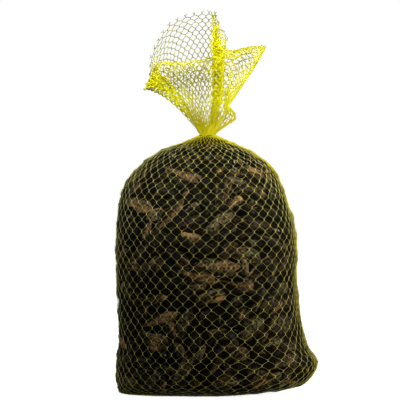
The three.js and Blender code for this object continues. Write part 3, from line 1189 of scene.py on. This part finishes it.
def sample_grid(grid, around, climb):
    """Values of a grid of angle and climb, read between its points."""
    rounds, climbs = grid.shape
    place = (around / FULL_TURN) % 1 * rounds
    row = np.clip(climb, 0, 1) * (climbs - 1)
    one = np.floor(place).astype(int)
    low = np.minimum(np.floor(row).astype(int), climbs - 2)
    part, up = place - one, row - low
    one %= rounds
    two = (one + 1) % rounds
    bottom = grid[one, low] * (1 - part) + grid[two, low] * part
    top = grid[one, low + 1] * (1 - part) + grid[two, low + 1] * part
    return bottom * (1 - up) + top * up


def pleat(around):
    """How far the gathered net is drawn in at an angle round the neck, from 0 to 1."""
    return 0.5 - 0.5 * np.cos(PLEATS * around + PLEAT_DRIFT * np.sin(2 * around))


def net_rows(bag, net):
    """Climbs of the tight net's rows of knots, and how far the net rises there for each whole climb."""
    around = angles_round(48, closed=True)
    step = 0.001
    climb = FIRST_ROW
    climbs, rises = [], []
    while climb < 1 - step:
        here = bag_points(bag, around, climb)
        above = bag_points(bag, around, climb + step)
        rise = float(np.mean(np.linalg.norm(above - here, axis=1))) / step
        slack = float(smoothstep(climb, *NECK_SLACK) + 1 - smoothstep(climb, *BASE_SLACK))
        climbs.append(climb)
        rises.append(rise)
        climb += net.row * (1 - SLACK_SHARE * min(slack, 1)) / rise
    return np.array(climbs), np.array(rises)


def even_angles(bag):
    """Angles that part the bag's girth evenly at mid height, as a table of share and angle."""
    angles = np.linspace(0, FULL_TURN, 721)
    ring = bag_points(bag, angles, MID_CLIMB)
    length = running_sum(np.linalg.norm(ring[1:] - ring[:-1], axis=1))
    return length / length[-1], angles


def bunched(column, climb):
    """How far round a column of the tight net is drawn, to open the neck and bunch at the right."""
    aside = FULL_TURN * column - BUNCHING_TURN
    opened = NECK_OPENING * smoothstep(climb, *NECK_RANGE) * np.sin(2 * aside)
    return opened + BUNCHING * np.sin(aside) * np.exp(BUNCHING_WIDTH * (np.cos(aside) - 1))


def strand_thickness(around, climb, lean):
    """How much thicker than a plain one a strand is, by its side of the bag and in the collar."""
    across = np.cos(around)
    drawn = 1 + lean * LEAN_DRAW * across + EDGE_THICKENING * across ** 2
    collar = 1 + COLLAR_THICKENING * (1 + COLLAR_TURN * across) * smoothstep(climb, *COLLAR_RANGE)
    return drawn * collar


def tight_paths(bag, net, heights, lean):
    """Paths of the strands of the tight net that lean one way round the bag."""
    draw = np.random.default_rng(TIGHT_SEED)
    climbs, rises = net_rows(bag, net)
    rows = np.arange(len(climbs))
    columns = net.columns
    jog_across = draw.normal(0, JOG_ACROSS, (len(rows), 2 * columns))
    jog_up = draw.normal(0, JOG_UP, (len(rows), 2 * columns))
    shares, angles = even_angles(bag)
    floor = KNOT_THICKNESS * (1 + LEAN_DRAW + EDGE_THICKENING) * net.strand
    thickness = np.tile((KNOT_THICKNESS,) * 2 + (BAR_THICKNESS,) * len(BAR_PARTS), len(rows))
    paths = []
    for first in range(columns):
        knots = (2 * first + lean * rows) % (2 * columns)
        column = first + lean * rows / 2 + jog_across[rows, knots]
        middle = climbs + jog_up[rows, knots] / rises
        low, high = middle - KNOT_HALF / rises, middle + KNOT_HALF / rises
        next_low = np.append(low[1:], 1.0)
        next_column = np.append(column[1:], column[-1])
        over = column[:, None] + (next_column - column)[:, None] * BAR_PARTS
        up = high[:, None] + (next_low - high)[:, None] * BAR_PARTS
        column = np.column_stack((column, column, over)).ravel() / columns
        climb = np.clip(np.column_stack((low, high, up)).ravel(), LOWEST_CLIMB, 1)
        around = np.interp((column - bunched(column, climb) / FULL_TURN) % 1, shares, angles)
        skin, east, _, out = bag_frame(bag, around, climb)
        height = sample_grid(heights, around, climb)
        points = skin + out * height[:, None] + east * (lean * LAY_ASIDE)
        gather = smoothstep(climb, *PLEAT_RANGE) * PLEAT_DEPTH * pleat(around)
        points[:, :2] *= 1 - gather[:, None]
        points[:, 2] = np.maximum(points[:, 2], floor)
        paths.append((points, thickness * strand_thickness(around, climb, lean)))
    return paths


class MUSSELBAG_OT_tight_net(bpy.types.Operator):
    """Draw the net tight over the mussels"""

    bl_idname = "mussel_bag.tight_net"
    bl_label = "Tight Net"

    def execute(self, context):
        bag = context.scene.bag_sizes
        net = context.scene.net_look
        depsgraph = context.evaluated_depsgraph_get()
        names = ("mussels_dark", "mussels_brown", "mussels_inner", "heap_shade_core")
        trees = [BVHTree.FromObject(bpy.data.objects[name], depsgraph) for name in names]
        heights = net_heights(bag, trees, net.strand)
        material = net_material(net, "tight_plastic", net.tight_colour)
        for name, lean in (("net_tight_right", 1), ("net_tight_left", -1)):
            paths = tight_paths(bag, net, heights, lean)
            mesh = strands_mesh(name, paths, net.strand, 0)
            ends = np.concatenate([points for points, _ in paths])
            knots = (ends[::KNOT_POINTS] + ends[1::KNOT_POINTS]) / 2
            mark_crowding(mesh, knots, *TIGHT_CROWD)
            add_piece(name, mesh, material, "mussels_in_net")
        return {"FINISHED"}


def side_fold(share, along):
    """How much of the small fold at the right is at a place on the loose net, from 0 to 1."""
    beside = np.abs(share - SIDE_SHARE)
    beside = np.minimum(beside, 1 - beside) / SIDE_WIDTH
    reach = np.where(along < SIDE_ALONG, SIDE_ALONG, SIDE_REACH)
    return np.exp(-beside) * np.maximum(1 - np.abs(along - SIDE_ALONG) / reach, 0)


def loose_target(share, along, fold_row):
    """Where the loose net would lie, a share of the way round it and along it from neck to cut edge."""
    share = share % 1
    around = FULL_TURN * share
    neck = np.stack((np.cos(around), np.sin(around), np.zeros_like(around)), -1)
    neck = neck * (NECK_RADIUS * (1 - NECK_PLEATING * pleat(around)))[..., None]
    neck[..., 2] -= NECK_DROP
    row = spline(RIM, share, closed=True)
    fold = row[..., :3]
    cuff = np.maximum(row[..., RIM_CUFF], 0)
    rib = np.linalg.norm(fold - neck, axis=-1)
    turn = rib / (rib + cuff)
    folded = smoothstep(cuff, *FOLDED_CUFF)
    turn_row = turn + (fold_row - turn) * folded
    off = along - turn_row
    along = turn_row + off * (1 - FOLD_PACKED_SHARE * folded * np.exp(-((off / FOLD_PACKING) ** 2)))
    inside = along / turn_row * turn
    outside = turn + (along - turn_row) / np.maximum(1 - turn_row, 1e-6) * (1 - turn)
    far = np.where(along < turn_row, inside, outside) * (rib + cuff)
    part = np.minimum(far / rib, 1)
    beyond = np.maximum(far - rib, 0)
    place = neck + (fold - neck) * part[..., None]
    place[..., :2] *= (1 + FOLD_BULGE * np.sin(math.pi * part))[..., None]
    place[..., 0] += row[..., RIM_BOW_RIGHT] * np.sin(math.pi * part ** BOW_RIGHT_POWER)
    place[..., 2] += row[..., RIM_BOW_UP] * np.sin(math.pi * part ** BOW_UP_POWER)
    small_fold = side_fold(share, along)
    place[..., 0] += SIDE_OUT * small_fold
    place[..., 2] -= SIDE_DROP * small_fold
    outward = unit(fold * np.array((1, 1, 0)))
    place += outward * (CUFF_TURN * (1 - np.exp(-beyond / CUFF_TURN)))[..., None]
    place[..., 2] -= beyond * CUFF_HANG
    return place


def loose_rows(bar):
    """Shares of the way along the loose net of its rows of knots."""
    along = 0.0
    rows = []
    while along < 1:
        rows.append(along)
        half = CELL_WIDTH * along / 2
        along += math.sqrt(max(bar ** 2 - half * half, (LEAST_RISE * bar) ** 2)) / LOOSE_LENGTH
    return np.array(rows) / rows[-1]


def loose_links(rows, columns):
    """Pairs of knots that hold the loose net in shape, with their least and greatest length in bars."""
    index = np.arange(rows * columns).reshape(rows, columns)
    links = []
    for parity in (0, 1):
        low = index[parity:rows - 1:2]
        high = index[parity + 1::2][:len(low)]
        for shift in (parity - 1, parity):
            links.append((low, np.roll(high, -shift, 1), *BAR_LIMITS))
    for shift in (1, -1):
        links.append((index[:-2], np.roll(index[2:], -shift, 1), *SLANT_LIMITS))
    links.append((index[:-2], index[2:], *RISE_LIMITS))
    links.append((index, np.roll(index, -1, 1), *WIDTH_LIMITS))
    return [(one.ravel(), other.ravel(), least, most) for one, other, least, most in links]


def relax_loose(target, firm, bar):
    """Lets the knots of the loose net find places that keep their bars' length."""
    rows, columns, _ = target.shape
    aim = target.reshape(-1, 3)
    spots = aim.copy()
    along = np.repeat(np.linspace(0, 1, rows), columns)
    free = np.where(along > FREE_FROM, 1.0, 0.0)[:, None]
    low = 1 - smoothstep(along, *HOLD_LOW_RANGE)
    hold = (HOLD + HOLD_AT_EDGE * along ** 3 + HOLD_LOW * low + HOLD_FIRM * firm.ravel())[:, None]
    links = loose_links(rows, columns)
    for _ in range(RELAX_STEPS):
        for one, other, least, most in links:
            line = spots[other] - spots[one]
            far = np.maximum(np.linalg.norm(line, axis=1, keepdims=True), 1e-9)
            wanted = np.clip(far, least * bar, most * bar)
            shift = line * ((far - wanted) / far * RELAX_RATE)
            moves = np.zeros_like(spots)
            np.add.at(moves, one, shift)
            np.add.at(moves, other, -shift)
            spots += moves * free
        spots += (aim - spots) * hold * free
    return spots.reshape(target.shape)


def loose_knots(net):
    """Places of the loose net's knots, row by row from the neck to the cut edge."""
    columns = net.loose_columns
    along = loose_rows(net.loose_bar)
    offset = (np.arange(len(along)) % 2) / 2
    place = (np.arange(columns)[None, :] + offset[:, None]) / columns
    counted = running_sum(RIM[:, RIM_COUNT])
    share = np.interp(place * counted[-1], counted, np.linspace(0, 1, len(counted)))
    fold_row = along[round(FOLD_ROW * (len(along) - 1))]
    target = loose_target(share, np.repeat(along[:, None], columns, 1), fold_row)
    target[..., 2] += NECK_BASE + FOLDS_START
    target[..., 2] -= ((1 - smoothstep(along, 0.0, FOOT_END)) * FOOT_SINK)[:, None]
    folded = smoothstep(spline(RIM, share, closed=True)[..., RIM_CUFF], *FIRM_CUFF)
    firm = folded * (np.abs(along - fold_row) < FOLD_PACKING)[:, None]
    return relax_loose(target, firm, net.loose_bar)


def loose_paths(net, knots, crowd):
    """Paths of the strands of the loose net from the neck to their cut ends, thicker where gathered."""
    draw = np.random.default_rng(LOOSE_SEED)
    rows, columns, _ = knots.shape
    row = np.arange(rows)
    steps = (row // 2, -((row + 1) // 2))
    tracks = [(first + step) % columns for step in steps for first in range(columns)]
    up = np.zeros_like(knots)
    for track in tracks:
        up[row, track] += unit(np.gradient(knots[row, track], axis=0))
    up = unit(up)
    in_cone = smoothstep(row / rows, *CONE_START) * (1 - smoothstep(row / rows, *CONE_END))
    paths = []
    for track in tracks:
        middle = knots[row, track]
        rise = up[row, track]
        slope = unit(np.gradient(middle, axis=0))
        across = unit(slope - rise * np.sum(slope * rise, 1, keepdims=True)) * LOOSE_ASIDE
        low = middle - rise * KNOT_HALF + across
        high = middle + rise * KNOT_HALF + across
        gap = np.concatenate(((low[1:] + high[:-1]) / 2, high[-1:]))
        gap[:-1] += draw.normal(0, BAR_JOG, (rows - 1, 3))
        gap[-1] += slope[-1] * net.loose_bar * draw.uniform(*CUT_ENDS)
        points = np.stack((low, high, gap), 1).reshape(-1, 3)
        gathered = np.maximum(crowd[row, track] - KNOT_CROWD, 0) / (1 - KNOT_CROWD)
        drawn = 1 - CONE_THINNING * in_cone * (1 - smoothstep(middle[:, 0], *CONE_SIDE))
        thick = np.outer((1 + GATHERED_THICKENING * gathered) * drawn, LOOSE_THICKNESS)
        paths.append((points, thick.ravel()))
    return paths


class MUSSELBAG_OT_loose_net(bpy.types.Operator):
    """Build the gathered neck and the loose folds of net above it"""

    bl_idname = "mussel_bag.loose_net"
    bl_label = "Loose Net"

    def execute(self, context):
        net = context.scene.net_look
        knots = loose_knots(net)
        every = knots.reshape(-1, 3)
        crowd = crowding(every, every, *LOOSE_CROWD).reshape(knots.shape[:2])
        mesh = strands_mesh("net_loose", loose_paths(net, knots, crowd), net.loose_strand, 1)
        mark_crowding(mesh, every, *LOOSE_CROWD)
        material = net_material(net, "loose_plastic", net.shaded_thin_colour)
        add_piece("net_loose", mesh, material, "net_top")
        return {"FINISHED"}


class MUSSELBAG_OT_stage(bpy.types.Operator):
    """Set the floor, the light and the camera"""

    bl_idname = "mussel_bag.stage"
    bl_label = "Stage"

    def execute(self, context):
        scene = context.scene
        look = scene.stage_look
        self.lay_floor(scene, look)
        for name, place, size, share, colour in LIGHTS:
            light = bpy.data.lights.new(name, "AREA")
            light.shape = "DISK"
            light.size = size
            light.energy = share * look.key
            light.color = colour
            self.hang(scene, name, light, place, LIGHT_AIM)
        spot = bpy.data.lights.new("folds", "SPOT")
        spot.energy = look.spot
        spot.spot_size = SPOT_ANGLE
        spot.spot_blend = SPOT_BLEND
        spot.shadow_soft_size = SPOT_SOFTNESS
        self.hang(scene, "folds", spot, SPOT_PLACE, SPOT_AIM)
        self.light_surroundings(scene)
        camera = bpy.data.cameras.new("camera")
        camera.lens = CAMERA_LENS
        camera.sensor_width = CAMERA_SENSOR
        back = Vector((0, -math.cos(look.elevation), math.sin(look.elevation)))
        place = CAMERA_AIM + back * CAMERA_DISTANCE
        scene.camera = self.hang(scene, "camera", camera, place, CAMERA_AIM)
        scene.view_settings.view_transform = "Standard"
        return {"FINISHED"}

    def lay_floor(self, scene, look):
        bm = bmesh.new()
        bmesh.ops.create_grid(bm, x_segments=1, y_segments=1, size=FLOOR_SIZE)
        mesh = bpy.data.meshes.new("floor")
        bm.to_mesh(mesh)
        bm.free()
        floor = bpy.data.objects.new("floor", mesh)
        scene.collection.objects.link(floor)
        material, tree, shader = new_material("pale_floor")
        set_inputs(tree, shader, {
            "Base Color": (*look.floor, 1),
            "Roughness": FLOOR_ROUGHNESS,
            "Emission Color": (*WHITE, 1),
            "Emission Strength": FLOOR_GLOW,
        })
        mesh.materials.append(material)
        floor.visible_glossy = False
        floor.visible_diffuse = False

    def hang(self, scene, name, thing, place, aim):
        """Puts a light or camera at a place and turns it to what it aims at."""
        holder = bpy.data.objects.new(name, thing)
        holder.location = place
        look_along = Vector(aim) - Vector(place)
        holder.rotation_euler = look_along.to_track_quat("-Z", "Y").to_euler()
        scene.collection.objects.link(holder)
        return holder

    def light_surroundings(self, scene):
        """White where the camera sees it, and a weak light on the bag."""
        world = bpy.data.worlds.new("studio")
        world.use_nodes = True
        tree = world.node_tree
        soft = tree.nodes["Background"]
        set_inputs(tree, soft, {"Color": (*WHITE, 1), "Strength": SURROUNDINGS})
        seen = add_node(tree, "ShaderNodeBackground", {"Color": (*WHITE, 1), "Strength": 1.0})
        path = add_node(tree, "ShaderNodeLightPath", {})
        sockets = {0: path.outputs["Is Camera Ray"], 1: soft.outputs[0], 2: seen.outputs[0]}
        both = add_node(tree, "ShaderNodeMixShader", sockets)
        set_inputs(tree, tree.nodes["World Output"], {"Surface": both.outputs[0]})
        scene.world = world


GROUPS = {
    "bag_sizes": BagSizes,
    "mussel_look": MusselLook,
    "net_look": NetLook,
    "stage_look": StageLook,
}
OPERATORS = (
    MUSSELBAG_OT_core,
    MUSSELBAG_OT_mussels,
    MUSSELBAG_OT_tight_net,
    MUSSELBAG_OT_loose_net,
    MUSSELBAG_OT_stage,
)


class MUSSELBAG_PT_panel(bpy.types.Panel):
    """Lists the sizes, the colours and the steps that build the bag"""

    bl_label = "Mussel Bag"
    bl_idname = "MUSSELBAG_PT_panel"
    bl_space_type = "VIEW_3D"
    bl_region_type = "UI"
    bl_category = "Mussel Bag"

    def draw(self, context):
        for name, group in GROUPS.items():
            box = self.layout.box()
            for setting in group.__annotations__:
                box.prop(getattr(context.scene, name), setting)
        for operator in OPERATORS:
            self.layout.operator(operator.bl_idname)


CLASSES = (*GROUPS.values(), *OPERATORS, MUSSELBAG_PT_panel)


def register():
    for item in CLASSES:
        bpy.utils.register_class(item)
    for name, group in GROUPS.items():
        setattr(bpy.types.Scene, name, PointerProperty(type=group))


def unregister():
    for name in GROUPS:
        delattr(bpy.types.Scene, name)
    for item in reversed(CLASSES):
        bpy.utils.unregister_class(item)


def main():
    register()
    bpy.ops.mussel_bag.core()
    bpy.ops.mussel_bag.mussels()
    bpy.ops.mussel_bag.tight_net()
    bpy.ops.mussel_bag.loose_net()
    bpy.ops.mussel_bag.stage()


if __name__ == "__main__":
    main()
